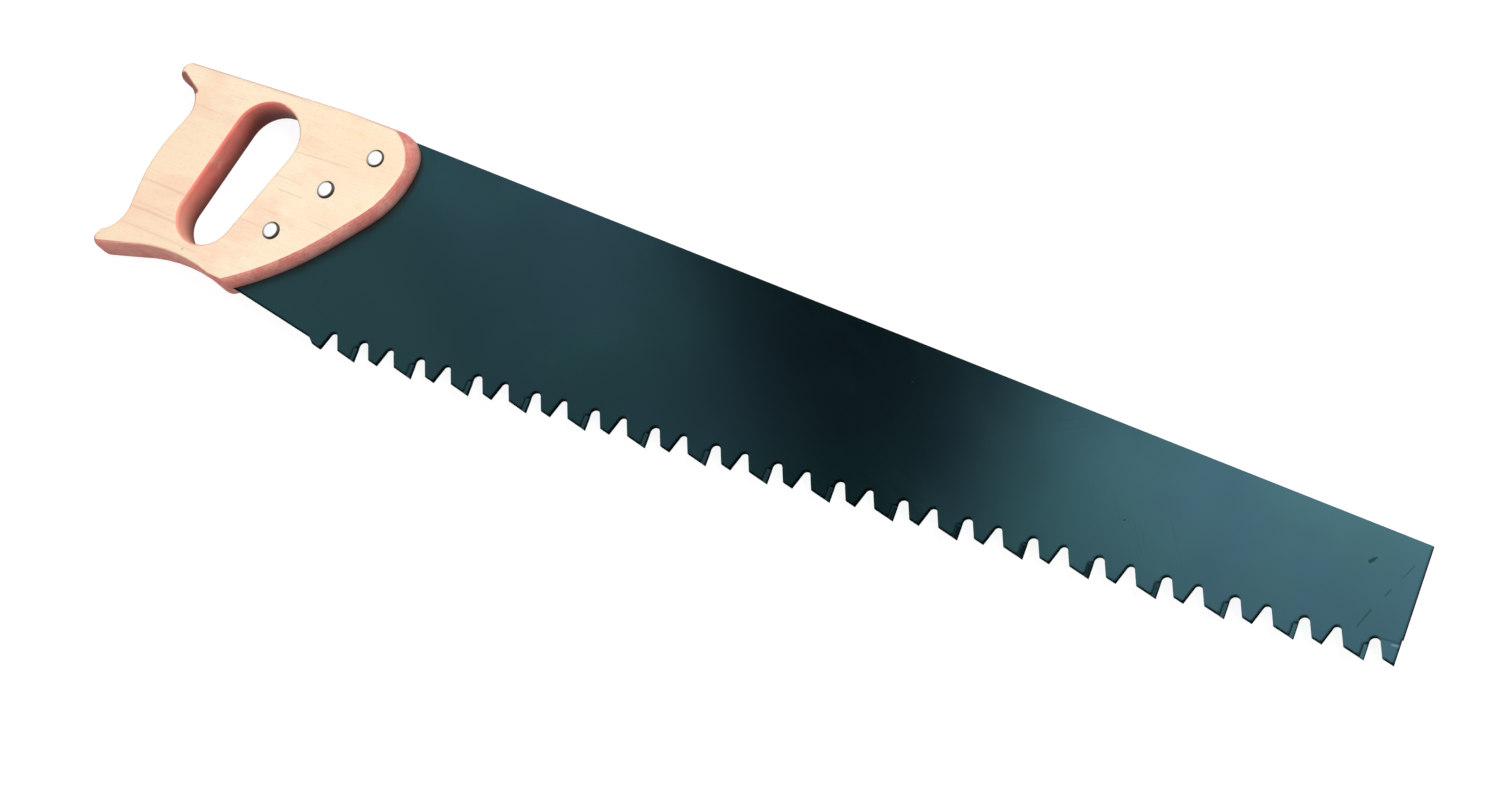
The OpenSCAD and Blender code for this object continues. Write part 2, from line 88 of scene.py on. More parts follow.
class Value:
    """A number in a node tree, on which arithmetic adds Math nodes."""

    def __init__(self, tree: "Tree", socket: Socket) -> None:
        """Keeps the socket that carries the number."""
        self.tree = tree
        self.socket = socket

    def __add__(self, other: Number) -> "Value":
        """This plus another."""
        return self.tree.math(Arith.ADD, self, other)

    def __radd__(self, other: Number) -> "Value":
        """Another plus this."""
        return self.tree.math(Arith.ADD, other, self)

    def __sub__(self, other: Number) -> "Value":
        """This less another."""
        return self.tree.math(Arith.SUBTRACT, self, other)

    def __rsub__(self, other: Number) -> "Value":
        """Another less this."""
        return self.tree.math(Arith.SUBTRACT, other, self)

    def __mul__(self, other: Number) -> "Value":
        """This times another."""
        return self.tree.math(Arith.MULTIPLY, self, other)

    def __rmul__(self, other: Number) -> "Value":
        """Another times this."""
        return self.tree.math(Arith.MULTIPLY, other, self)

    def __truediv__(self, other: Number) -> "Value":
        """This over another."""
        return self.tree.math(Arith.DIVIDE, self, other)

    def __rtruediv__(self, other: Number) -> "Value":
        """Another over this."""
        return self.tree.math(Arith.DIVIDE, other, self)

    def __pow__(self, other: Number) -> "Value":
        """This to a power."""
        return self.tree.math(Arith.POWER, self, other)

    def __rpow__(self, other: Number) -> "Value":
        """Another to this power."""
        return self.tree.math(Arith.POWER, other, self)

    def __abs__(self) -> "Value":
        """This without its sign."""
        return self.tree.math(Arith.ABSOLUTE, self, 0.0)

    def fraction(self) -> "Value":
        """What is left over a whole number."""
        return self.tree.math(Arith.FRACTION, self, 0.0)

    def at_least(self, other: Number) -> "Value":
        """The larger of this and another."""
        return self.tree.math(Arith.MAXIMUM, self, other)

    def at_most(self, other: Number) -> "Value":
        """The smaller of this and another."""
        return self.tree.math(Arith.MINIMUM, self, other)

    def rise(self, start: float, end: float) -> "Value":
        """Eased change from 0 at start to 1 at end.

        Args:
            start: value at which the result is 0; it may be the larger of the two.
            end: value at which the result is 1.

        Returns:
            The eased value.
        """
        falls = start > end
        node = self.tree.node(
            "ShaderNodeMapRange",
            {"interpolation_type": "SMOOTHSTEP"},
            {
                "Value": self,
                "From Min": min(start, end),
                "From Max": max(start, end),
                "To Min": 1.0 if falls else 0.0,
                "To Max": 0.0 if falls else 1.0,
            },
        )
        return Value(self.tree, node.outputs["Result"])


@dataclass(frozen=True)
class Pattern:
    """Fractal noise laid along a direction.

    Attributes:
        cells: cells to the metre along X, Y and Z, after the turn.
        detail: how many finer layers of noise it has.
        roughness: how much the finer layers weigh.
        turn: turn about Z in degrees.
        shift: shift in cells, which draws the pattern from elsewhere.
        band: the part of the noise that counts; without it, most of it is from 0.3 to 0.7.
    """

    cells: Triple
    detail: float = 2.0
    roughness: float = 0.5
    turn: float = 0.0
    shift: Triple = (0.0, 0.0, 0.0)
    band: Span | None = None


class Tree:
    """Fills the node tree of a material, of the world or of a modifier."""

    def __init__(self, tree: bpy.types.NodeTree) -> None:
        """Empties the tree."""
        self.tree = tree
        tree.nodes.clear()

    def node(
        self, kind: str, settings: Settings | None = None, inputs: Inputs | None = None
    ) -> bpy.types.Node:
        """Adds one node.

        Args:
            kind: the node's type.
            settings: properties to set on it first.
            inputs: values, sockets or Values for its inputs, by name or by index.

        Returns:
            The new node.
        """
        made = self.tree.nodes.new(kind)
        for name, setting in (settings or {}).items():
            setattr(made, name, setting)
        for name, given in (inputs or {}).items():
            self.feed(made.inputs[name], given)
        return made

    def feed(self, socket: Socket, given: object) -> None:
        """Links an input, or sets its own value.

        Args:
            socket: the input.
            given: a socket or a Value to link, or a number, a colour or a vector to set.
        """
        if isinstance(given, Value):
            given = given.socket
        if isinstance(given, Socket):
            self.tree.links.new(given, socket)
        elif socket.type == "RGBA":
            socket.default_value = (*given, 1.0)
        else:
            socket.default_value = given

    def math(self, operation: Arith, first: Number, second: Number) -> Value:
        """Adds a Math node.

        Args:
            operation: what it works out.
            first: its first number.
            second: its second number, which an operation on one number passes over.

        Returns:
            Its result.
        """
        made = self.node("ShaderNodeMath", {"operation": operation.value}, {0: first, 1: second})
        return Value(self, made.outputs[0])

    def place(self) -> Socket:
        """The place on the object."""
        return self.node("ShaderNodeTexCoord").outputs["Object"]

    def outward(self) -> Socket:
        """The direction that a ray into the surroundings takes."""
        return self.node("ShaderNodeTexCoord").outputs["Generated"]

    def facing(self) -> tuple[Value, Value, Value]:
        """The three parts of the direction that the surface faces on the object."""
        return self.parts(self.node("ShaderNodeTexCoord").outputs["Normal"])

    def parts(self, vector: Socket) -> tuple[Value, Value, Value]:
        """The three parts of a vector."""
        split = self.node("ShaderNodeSeparateXYZ", inputs={0: vector}).outputs
        return Value(self, split[0]), Value(self, split[1]), Value(self, split[2])

    def rounded(self, radius: float, samples: int = 8) -> tuple[Value, Value, Value]:
        """The three parts of the direction that the surface would face with rounded edges."""
        bevel = self.node("ShaderNodeBevel", {"samples": samples}, {"Radius": radius})
        return self.parts(bevel.outputs[0])

    def laid(
        self, place: Socket, cells: Triple, turn: float = 0.0, shift: Triple = (0.0, 0.0, 0.0)
    ) -> Socket:
        """Turns a place about Z and counts it in cells.

        Args:
            place: the place.
            cells: cells to the metre along X, Y and Z, after the turn.
            turn: turn in degrees.
            shift: shift in cells.

        Returns:
            The new place.
        """
        if turn:
            settings = {"rotation_type": "Z_AXIS"}
            inputs = {"Vector": place, "Angle": math.radians(turn)}
            place = self.node("ShaderNodeVectorRotate", settings, inputs).outputs[0]
        stretched = self.node(
            "ShaderNodeVectorMath", {"operation": "MULTIPLY_ADD"}, {0: place, 1: cells, 2: shift}
        )
        return stretched.outputs[0]

    def pushed(self, place: Socket, cells: float, reach: float) -> Socket:
        """Moves a place by soft noise, so that lines laid over it waver.

        Args:
            place: the place.
            cells: cells of the noise to the metre.
            reach: how far it moves a place.

        Returns:
            The new place.
        """
        inputs = {"Vector": place, "Scale": cells, "Detail": 1.0}
        noise = self.node("ShaderNodeTexNoise", inputs=inputs)
        moved = self.node(
            "ShaderNodeVectorMath",
            {"operation": "MULTIPLY_ADD"},
            {0: noise.outputs["Color"], 1: (reach, reach, reach), 2: place},
        )
        return moved.outputs[0]

    def noise(self, place: Socket, pattern: Pattern) -> Value:
        """Draws a pattern.

        Args:
            place: the place on the object.
            pattern: the pattern.

        Returns:
            Its value at that place.
        """
        made = self.node(
            "ShaderNodeTexNoise",
            inputs={
                "Vector": self.laid(place, pattern.cells, pattern.turn, pattern.shift),
                "Scale": 1.0,
                "Detail": pattern.detail,
                "Roughness": pattern.roughness,
            },
        )
        noise = Value(self, made.outputs["Fac"])
        return noise.rise(*pattern.band) if pattern.band else noise

    def spots(
        self, place: Socket, cells: Triple, size: Span, chance: Span, turn: float = 0.0
    ) -> Value:
        """Scattered small spots.

        Args:
            place: the place on the object.
            cells: spots to the metre along X, Y and Z, after the turn.
            size: distance from a spot's middle at which it ends, and at which it is full, in cells.
            chance: random number from which a spot shows a little, and from which it is full.
            turn: turn about Z in degrees.

        Returns:
            How much of a spot there is.
        """
        made = self.node(
            "ShaderNodeTexVoronoi", inputs={"Vector": self.laid(place, cells, turn), "Scale": 1.0}
        )
        distance = Value(self, made.outputs["Distance"])
        drawn = self.parts(made.outputs["Color"])[0]
        return distance.rise(*size) * drawn.rise(*chance)

    def away(self, x: Value, y: Value, spot: Point) -> Value:
        """Distance to a point, seen from above."""
        across, along = x - spot[0], y - spot[1]
        return (across * across + along * along) ** 0.5

    def nearest(self, x: Value, y: Value, spots: Sequence[Point]) -> Value:
        """Distance to the nearest of some points, seen from above.

        Args:
            x: place along X.
            y: place along Y.
            spots: the points.

        Returns:
            The distance.
        """
        near = self.away(x, y, spots[0])
        for spot in spots[1:]:
            near = near.at_most(self.away(x, y, spot))
        return near

    def reach(self, x: Value, y: Value, start: Point, end: Point, swell: float = 0.0) -> Value:
        """Distance to a line between two points, seen from above.

        Args:
            x: place along X.
            y: place along Y.
            start: start of the line.
            end: end of the line.
            swell: how much less the distance counts at the end than at the start.

        Returns:
            The distance.
        """
        run_x, run_y = end[0] - start[0], end[1] - start[1]
        square = run_x**2 + run_y**2
        share = (x - start[0]) * (run_x / square) + (y - start[1]) * (run_y / square)
        share = share.at_least(0.0).at_most(1.0)
        across = x - start[0] - share * run_x
        along = y - start[1] - share * run_y
        distance = (across * across + along * along) ** 0.5
        return distance - share * swell if swell else distance

    def drawn(self, x: Value, y: Value, mark: Mark, outer: float, inner: float) -> Value:
        """A straight mark with soft sides.

        Args:
            x: place along X.
            y: place along Y.
            mark: the mark.
            outer: where its side ends, as a share of its reach.
            inner: where it is full, as a share of its reach.

        Returns:
            How much of the mark there is.
        """
        start, end, width = mark
        return self.reach(x, y, start, end).rise(width * outer, width * inner)

    def mix(self, share: Number, first: object, second: object) -> Socket:
        """Blend from a first colour to a second.

        Args:
            share: how much of the second there is.
            first: the first colour.
            second: the second colour.

        Returns:
            The blend.
        """
        # A colour blend has its colours at inputs 6 and 7 and its result at output 2
        made = self.node("ShaderNodeMix", {"data_type": "RGBA"}, {0: share, 6: first, 7: second})
        return made.outputs[2]

    def layers(self, base: object, *layers: tuple[Value, float, Colour]) -> Socket:
        """Lays colours over each other.

        Args:
            base: the lowest colour.
            *layers: for each next one, where it lies, how strongly it covers there, and its colour.

        Returns:
            What is seen from above.
        """
        for where, strength, colour in layers:
            base = self.mix(where * strength, base, colour)
        return base

    def bump(self, height: Value, distance: float) -> Socket:
        """The direction of a surface with small relief, whose height is a share of a distance."""
        made = self.node("ShaderNodeBump", inputs={"Height": height, "Distance": distance})
        return made.outputs["Normal"]

    def surface(self, **inputs: object) -> None:
        """Ends a material in a Principled shader.

        Args:
            **inputs: the shader's inputs, with underscores for the spaces in their names.
        """
        named = {name.replace("_", " "): given for name, given in inputs.items()}
        shader = self.node("ShaderNodeBsdfPrincipled", inputs=named)
        self.node("ShaderNodeOutputMaterial", inputs={"Surface": shader.outputs[0]})


class Finish:
    """A surface finish that makes one material."""

    name: str

    def fill(self, tree: Tree) -> None:
        """Fills the material's nodes.

        Args:
            tree: the material's own tree, still empty.
        """
        raise NotImplementedError

    def material(self) -> bpy.types.Material:
        """Makes the material.

        Returns:
            The material.
        """
        made = bpy.data.materials.new(self.name)
        made.use_nodes = True
        self.fill(Tree(made.node_tree))
        return made


@dataclass(frozen=True)
class BladePaint(Finish):
    """Satin blue-green lacquer over rolled steel, with knocks and scratches, dark cut edges that
    are partly painted shade, painted shade near the handle and beside the gullets, and painted
    reflection tone up the blade and towards the toe.
    """

    name: str = "blade_paint"
    low: Colour = (0.056, 0.183, 0.200)
    high: Colour = (0.064, 0.175, 0.214)
    toe: Colour = (0.066, 0.159, 0.189)
    blue: Colour = (0.064, 0.150, 0.214)
    # Darker lacquer, laid at random and also as painted shade near the handle
    deep_tone_and_shade: Colour = (0.046, 0.125, 0.142)
    speck: Colour = (0.012, 0.030, 0.034)
    scratch: Colour = (0.034, 0.085, 0.098)
    # Nearly black: dark cut steel, and partly painted shade on the cut walls
    cut: Colour = (0.004, 0.009, 0.011)
    ground: Colour = (0.075, 0.190, 0.245)
    nick_bright: Colour = (0.200, 0.390, 0.440)
    # Where the colour changes: up the blade, which counts a little along it too, and towards the
    # toe, as painted reflection tone; and near the handle, as painted shade that counts from corner
    # to corner
    high_slope: float = 0.055
    high_from: Span = (-0.075, 0.020)
    toe_from: Span = (0.30, 0.60)
    handle_shade_from: Span = (0.090, 0.005)
    tints: tuple[tuple[Mark, Colour], ...] = (
        (((0.5760, -0.0500), (0.6010, -0.0530), 0.0240), (0.062, 0.153, 0.212)),
        (((0.5300, -0.0350), (0.5400, -0.0370), 0.0180), (0.062, 0.154, 0.210)),
        (((0.5500, -0.0630), (0.5560, -0.0610), 0.0150), (0.060, 0.158, 0.172)),
    )
    tint_wander: float = 0.008
    clouds: Pattern = Pattern((14.0, 14.0, 14.0), 3.0, turn=GRAIN_TURN, band=(0.34, 0.66))
    hue: Pattern = Pattern((11.0, 11.0, 11.0), band=(0.42, 0.60))
    rolling: Pattern = Pattern((40.0, 2600.0, 2600.0), 3.0, 0.6, GRAIN_TURN)
    peel: Pattern = Pattern((900.0, 900.0, 900.0))
    smears: Pattern = Pattern((9.0, 34.0, 9.0), 4.0, 0.6, 31.0, band=(0.52, 0.74))
    speck_cells: Triple = (60.0, 60.0, 0.0)
    speck_size: Span = (0.028, 0.010)
    speck_chance: Span = (0.80, 0.84)
    # Fine lines in two directions, each with the patches in which it shows
    hairlines: tuple[tuple[Pattern, Pattern], ...] = (
        (
            Pattern((16.0, 900.0, 0.0), 0.0, 0.5, 58.0, (3.7, 0.0, 0.0), (0.735, 0.775)),
            Pattern((30.0, 30.0, 30.0), 1.0, 0.5, 0.0, (111.0, 30.0, 0.0), (0.56, 0.66)),
        ),
        (
            Pattern((16.0, 900.0, 0.0), 0.0, 0.5, -24.0, (8.1, 0.0, 0.0), (0.735, 0.775)),
            Pattern((30.0, 30.0, 30.0), 1.0, 0.5, 0.0, (243.0, 30.0, 0.0), (0.56, 0.66)),
        ),
    )
    hairline_strength: float = 0.16
    hairline_cells: float = 12.0
    hairline_wander: float = 0.004
    knocks: tuple[Mark, ...] = (
        ((0.5971, -0.0376), (0.5985, -0.0361), 0.0012),
        ((0.5985, -0.0361), (0.5996, -0.0349), 0.0006),
        ((0.4762, -0.0514), (0.4766, -0.0512), 0.0007),
        ((0.1862, -0.0335), (0.1874, -0.0330), 0.0003),
    )
    scratches: tuple[Mark, ...] = (
        ((0.6181, -0.0338), (0.6141, -0.0416), 0.0002),
        ((0.6108, -0.0483), (0.6090, -0.0519), 0.0003),
        ((0.6048, -0.0603), (0.6009, -0.0697), 0.0004),
    )
    nick: Mark = ((0.6196, -0.0738), (0.6227, -0.0736), 0.0008)
    # The corner of the ground toe, its soft edges and the lip above it
    toe_grind: Point = (0.6132, -0.0722)
    grind_soft: Point = (0.0004, 0.0002)
    grind_lip: Span = (0.0007, 0.0003)
    # The cut edges, and the painted shade beside them on the sides of the gullets
    cut_from: Span = (0.99, 0.80)
    edge_shade: float = 0.0030
    edge_shade_side: Point = (0.46, 0.89)
    edge_shade_from: Span = (0.18, 0.31)
    metal: float = 0.98
    roughness: float = 0.095
    relief: float = 0.000002

    def fill(self, tree: Tree) -> None:
        """Fills the material's nodes.

        Args:
            tree: the material's own tree, still empty.
        """
        place = tree.place()
        x, y, _ = tree.parts(place)
        clouds = tree.noise(place, self.clouds)
        rolling = tree.noise(place, self.rolling)
        specks = tree.spots(place, self.speck_cells, self.speck_size, self.speck_chance)
        for mark in self.knocks:
            specks = specks.at_least(tree.drawn(x, y, mark, 1.0, 0.5))
        hair = self._hairlines(tree, place)
        for mark in self.scratches:
            hair = hair.at_least(tree.drawn(x, y, mark, 1.6, 0.6))
        # Cut walls: nearly black as dark cut steel, and partly as painted shade
        cut = abs(tree.facing()[2]).rise(*self.cut_from)
        # Painted shade: a dark band beside the edges that face the toe and the teeth
        lean_x, lean_y, _ = tree.rounded(self.edge_shade)
        lean = lean_x * self.edge_shade_side[0] - lean_y * self.edge_shade_side[1]
        edge_shade = lean.rise(*self.edge_shade_from) * (1.0 - cut)
        toe_x, toe_y = self.toe_grind
        soft_x, soft_y = self.grind_soft
        toe = x.rise(toe_x - soft_x, toe_x + soft_x)
        ground = toe * y.rise(toe_y + soft_y, toe_y - soft_y)
        lip = toe * abs(y - toe_y).rise(*self.grind_lip)
        # Painted shade on the blade near the handle; the same mask also makes it rougher there
        handle_shade = (x + y).rise(*self.handle_shade_from)

        colour = tree.layers(
            self._lacquer_and_reflection(tree, place, x, y, clouds),
            (clouds * 0.35 + rolling * 0.2 - 0.05, 1.0, self.deep_tone_and_shade),
            (handle_shade, 0.85, self.deep_tone_and_shade),
            (ground, 0.4, self.ground),
            (hair, 0.72, self.scratch),
            (specks.at_least(lip * 0.6), 0.62, self.speck),
            (tree.drawn(x, y, self.nick, 1.0, 0.4), 0.6, self.nick_bright),
            (cut.at_least(edge_shade), 1.0, self.cut),
        )
        smears, peel = tree.noise(place, self.smears), tree.noise(place, self.peel)
        roughness = self.roughness + handle_shade * 0.15 + clouds * 0.015 + smears * 0.02
        relief = rolling * 0.35 + peel * 0.3 - hair * 0.5 - specks
        tree.surface(
            Base_Color=colour,
            Metallic=(self.metal - specks * 0.3) * (1.0 - cut),
            Roughness=roughness + hair * 0.1 + specks * 0.3 + cut * 0.5,
            Specular_IOR_Level=0.0,
            Normal=tree.bump(relief, self.relief),
        )

    def _lacquer_and_reflection(self, tree: Tree, place: Socket, x: Value, y: Value, clouds: Value) -> Socket:
        """Colour of the clean lacquer, with painted reflection tone up the blade and towards the
        toe.

        Args:
            tree: the material's tree.
            place: the place on the blade.
            x: place along X.
            y: place along Y.
            clouds: the soft pattern that makes the tints' borders wander.

        Returns:
            The colour.
        """
        wander = (clouds - 0.5) * self.tint_wander
        tints = [
            ((tree.reach(x, y, start, end) + wander).rise(spread, 0.0), 0.5, tint)
            for (start, end, spread), tint in self.tints
        ]
        return tree.layers(
            self.low,
            # Painted reflection tone: up the blade, and towards the toe
            ((y + x * self.high_slope).rise(*self.high_from), 1.0, self.high),
            (x.rise(*self.toe_from), 0.8, self.toe),
            (tree.noise(place, self.hue), 0.6, self.blue),
            *tints,
        )

    def _hairlines(self, tree: Tree, place: Socket) -> Value:
        """Fine short scratches in two directions, in patches.

        Args:
            tree: the material's tree.
            place: the place on the blade.

        Returns:
            How much of a scratch there is.
        """
        wavy = tree.pushed(place, self.hairline_cells, self.hairline_wander)
        first, second = (
            tree.noise(wavy, line) * tree.noise(place, patch) for line, patch in self.hairlines
        )
        return first.at_least(second) * self.hairline_strength


@dataclass(frozen=True)
class Wood:
    """What the face, the edges and the relief of the beech share, by place on the handle.

    Attributes:
        place: the place on the handle.
        x: its part along X.
        y: its part along Y.
        z: its part along Z.
        side_x: how much the surface faces along X.
        side_y: how much it faces along Y.
        up: how much it faces up or down.
        rings: broad lines of the grain.
        fibre: the finest lines of the grain.
        tone: warmer and paler areas.
        veins: thin dark lines along the grain.
        flecks: short dark flecks along the grain.
        blotch: how evenly the stain has taken.
        hole: distance from the hand hole's wall.
        horn: distance from the upper horn's end, along which shade is painted.
    """

    place: Socket
    x: Value
    y: Value
    z: Value
    side_x: Value
    side_y: Value
    up: Value
    rings: Value
    fibre: Value
    tone: Value
    veins: Value
    flecks: Value
    blotch: Value
    hole: Value
    horn: Value


@dataclass(frozen=True)
class Beech(Finish):
    """Pale lacquered beech, stained red on its shaped edges and more orange in the hand hole, with
    painted shade low on the edges, under the upper horn and deep in the hole, and painted light
    towards the hole's foot.
    """

    name: str = "beech"
    face: Colour = (0.955, 0.812, 0.615)
    face_warm: Colour = (0.945, 0.715, 0.505)
    grip: Colour = (0.950, 0.690, 0.490)
    blush: Colour = (0.950, 0.640, 0.470)
    vein: Colour = (0.600, 0.380, 0.250)
    fleck: Colour = (0.560, 0.330, 0.220)
    knot: Colour = (0.930, 0.640, 0.330)
    edge: Colour = (0.720, 0.232, 0.192)
    edge_deep: Colour = (0.400, 0.132, 0.112)
    edge_pale: Colour = (0.820, 0.380, 0.305)
    edge_dusty: Colour = (0.520, 0.340, 0.310)
    edge_foot_shade: Colour = (0.350, 0.155, 0.125)
    hole: Colour = (0.930, 0.250, 0.195)
    # Orange of the hole's rim, also used as painted light towards the hole's foot
    hole_rim_and_light: Colour = (0.950, 0.460, 0.320)
    # Painted shade: deep in the hand hole, in the corner with the blade and under the horn
    deep_shade: Colour = (0.130, 0.026, 0.020)
    ring_lines: Pattern = Pattern((7.0, 170.0, 60.0), 4.0, 0.55, GRAIN_TURN)
    fibres: Pattern = Pattern((60.0, 2400.0, 2400.0), 2.0, 0.6, GRAIN_TURN)
    tones: Pattern = Pattern((14.0, 42.0, 20.0), turn=GRAIN_TURN, band=(0.35, 0.68))
    blushes: Pattern = Pattern(
        (26.0, 60.0, 26.0), 3.0, 0.5, GRAIN_TURN, (4.0, 2.0, 0.0), (0.49, 0.66)
    )
    long_veins: Pattern = Pattern(
        (5.0, 230.0, 40.0), 1.0, 0.5, GRAIN_TURN, (2.0, 5.0, 1.0), (0.66, 0.74)
    )
    short_veins: Pattern = Pattern(
        (24.0, 420.0, 90.0), 1.0, 0.5, GRAIN_TURN, (7.0, 1.0, 3.0), (0.68, 0.80)
    )
    blotches: Pattern = Pattern((95.0, 95.0, 95.0), 3.0, 0.6)
    mottle: Pattern = Pattern((420.0, 420.0, 420.0), 2.0, 0.6, band=(0.56, 0.36))
    # What makes the grain, the streaks and the knots wander, and how far
    grain_cells: float = 9.0
    grain_wander: float = 0.006
    streak_noise: Pattern = Pattern((260.0, 260.0, 260.0))
    streak_wander: float = 0.0016
    knot_noise: Pattern = Pattern((300.0, 300.0, 300.0))
    knot_wander: float = 0.003
    # The parts of a pattern that count where it is used in more than one way
    fibre_dark: Span = (0.50, 0.80)
    rings_dark: Span = (0.30, 0.55)
    blotch_pale: Span = (0.42, 0.68)
    blotch_dark: Span = (0.60, 0.36)
    blotch_dusty: Span = (0.34, 0.60)
    blotch_rubbed: Span = (0.30, 0.60)
    fleck_cells: Triple = (260.0, 1500.0, 900.0)
    fleck_size: Span = (0.34, 0.12)
    fleck_chance: Span = (0.55, 0.75)
    # The hand hole's middle line, its radius at each end, and how far its lining and its rim reach
    hole_top: Point = (-0.0473, 0.0196)
    hole_foot: Point = (-0.0632, -0.0317)
    hole_radius: float = 0.0197
    hole_foot_radius: float = 0.0165
    lining_from: Span = (0.0040, 0.0025)
    rim_from: Span = (0.0020, 0.0002)
    rim_back: Span = (-0.030, -0.042)
    # The upper horn's end, along which shade is painted
    horn_end: tuple[Point, Point] = ((-0.1106, 0.0424), (-0.0995, 0.0345))
    nose_centre: Point = (0.01537, 0.02043)
    nose_radius: float = 0.02358
    thumb_mark: Point = (-0.0726, 0.0007)
    knots: tuple[Point, ...] = ((0.0230, -0.0044), (0.0079, 0.0348))
    knot_size: Span = (0.0035, 0.0008)
    pore: Point = (-0.0684, -0.0534)
    pore_size: Span = (0.0012, 0.00036)
    streaks: tuple[Mark, ...] = (
        ((-0.0255, 0.0162), (0.0077, 0.0150), 0.0006),
        ((-0.0268, -0.0066), (-0.0117, -0.0080), 0.0008),
    )
    grip_back: Span = (-0.040, -0.075)
    grip_low: Span = (0.034, 0.012)
    # Where the edges' stain is darker at its foot as painted shade, paler high up at the back,
    # dusty low down on the cheek, and, as painted shade, nearly black in the corner with the blade
    # and dark under the horn
    foot_height: Span = (0.0080, -0.0010)
    back_height: Span = (0.0110, 0.0190)
    back_from: Span = (-0.045, -0.080)
    dusty_height: Span = (0.0190, 0.0140)
    dusty_from: Span = (-0.060, -0.030)
    corner_height: Span = (0.0165, 0.0126)
    corner_foot: Span = (0.0118, 0.0124)
    corner_side: Span = (0.3, 0.8)
    horn_dark: Span = (0.0080, 0.0020)
    # Where painted shade darkens the lining, reaching higher at the hole's top end; where painted
    # light makes it pale; and where it is rubbed
    deep_height: Span = (0.0215, 0.0015)
    deep_top: Span = (0.008, 0.036)
    deep_gain: float = 0.007
    deep_wander: float = 0.003
    pale_foot: Span = (-0.010, -0.040)
    rubbed_size: Span = (0.0040, 0.0015)
    rubbed_height: Span = (0.010, 0.014)
    # How far a surface has to turn from the face to be stained, sooner on two of its sides
    edge_turn: Span = (0.93, 0.70)
    lining_turn: Span = (0.995, 0.80)
    lee_side: Span = (-0.02, -0.30)
    lee: float = 0.3
    crest_side: Span = (0.05, 0.40)
    crest_from: Span = (0.036, 0.022)
    crest: float = 0.26
    nose_rim: Span = (-0.0004, 0.0006)
    nose_height: Span = (0.020, 0.024)
    nose_front: Span = (0.022, 0.029)
    horn_stain: Span = (0.0022, 0.0010)
    roughness: float = 0.50
    coat: float = 0.04
    relief: float = 0.00003

    def fill(self, tree: Tree) -> None:
        """Fills the material's nodes.

        Args:
            tree: the material's own tree, still empty.
        """
        wood = self._wood(tree)
        inside = wood.hole.rise(*self.lining_from)
        edge = tree.mix(inside, self._edge(tree, wood), self._lining(tree, wood))
        stained = self._stained(tree, wood, inside)
        relief = wood.rings * 0.5 + wood.fibre * 0.5 - wood.flecks * 0.6 - wood.veins * 0.3
        tree.surface(
            Base_Color=tree.mix(stained, self._face(tree, wood), edge),
            Roughness=self.roughness + wood.tone * 0.06 + wood.flecks * 0.10 + stained * 0.04,
            Coat_Weight=self.coat - stained * 0.035,
            Coat_Roughness=0.3,
            Specular_IOR_Level=0.14,
            Normal=tree.bump(relief, self.relief),
        )

    def _wood(self, tree: Tree) -> Wood:
        """Draws the patterns and distances that the parts of the finish share.

        Args:
            tree: the material's tree.

        Returns:
            The patterns and the distances.
        """
        place = tree.place()
        x, y, z = tree.parts(place)
        side_x, side_y, up = tree.facing()
        wavy = tree.pushed(place, self.grain_cells, self.grain_wander)
        swell = self.hole_foot_radius - self.hole_radius
        long, short = tree.noise(wavy, self.long_veins), tree.noise(wavy, self.short_veins)
        return Wood(
            place=place,
            x=x,
            y=y,
            z=z,
            side_x=side_x,
            side_y=side_y,
            up=abs(up),
            rings=tree.noise(wavy, self.ring_lines),
            fibre=tree.noise(place, self.fibres),
            tone=tree.noise(place, self.tones),
            veins=long.at_least(short * 0.8),
            flecks=tree.spots(
                place, self.fleck_cells, self.fleck_size, self.fleck_chance, GRAIN_TURN
            ),
            blotch=tree.noise(place, self.blotches),
            hole=tree.reach(x, y, self.hole_top, self.hole_foot, swell) - self.hole_radius,
            horn=tree.reach(x, y, *self.horn_end),
        )

    def _face(self, tree: Tree, wood: Wood) -> Socket:
        """Colour of the plain wood, with its grain and its marks.

        Args:
            tree: the material's tree.
            wood: the patterns of the wood.

        Returns:
            The colour.
        """
        x, y = wood.x, wood.y
        grip = x.rise(*self.grip_back) * y.rise(*self.grip_low)
        streak_y = y + (tree.noise(wood.place, self.streak_noise) - 0.5) * self.streak_wander
        broken = wood.rings.rise(*self.rings_dark)
        wander = (tree.noise(wood.place, self.knot_noise) - 0.5) * self.knot_wander
        streaks = [
            (tree.drawn(x, streak_y, mark, 1.0, 0.2) * broken, 0.30, self.vein)
            for mark in self.streaks
        ]
        knots = [
            ((tree.away(x, y, spot) + wander).rise(*self.knot_size), 0.30, self.knot)
            for spot in self.knots
        ]
        return tree.layers(
            self.face,
            (wood.tone * 0.5 + wood.rings * 0.5 - 0.12, 1.0, self.face_warm),
            (grip * (0.4 + wood.tone * 0.35), 1.0, self.grip),
            (tree.noise(wood.place, self.blushes), 0.62, self.blush),
            (wood.fibre.rise(*self.fibre_dark), 0.22, self.vein),
            (wood.veins, 0.27, self.vein),
            *streaks,
            *knots,
            (wood.flecks, 0.26, self.fleck),
            (tree.away(x, y, self.pore).rise(*self.pore_size), 0.55, self.fleck),
            (wood.hole.rise(*self.rim_from) * x.rise(*self.rim_back), 0.60, self.hole_rim_and_light),
        )

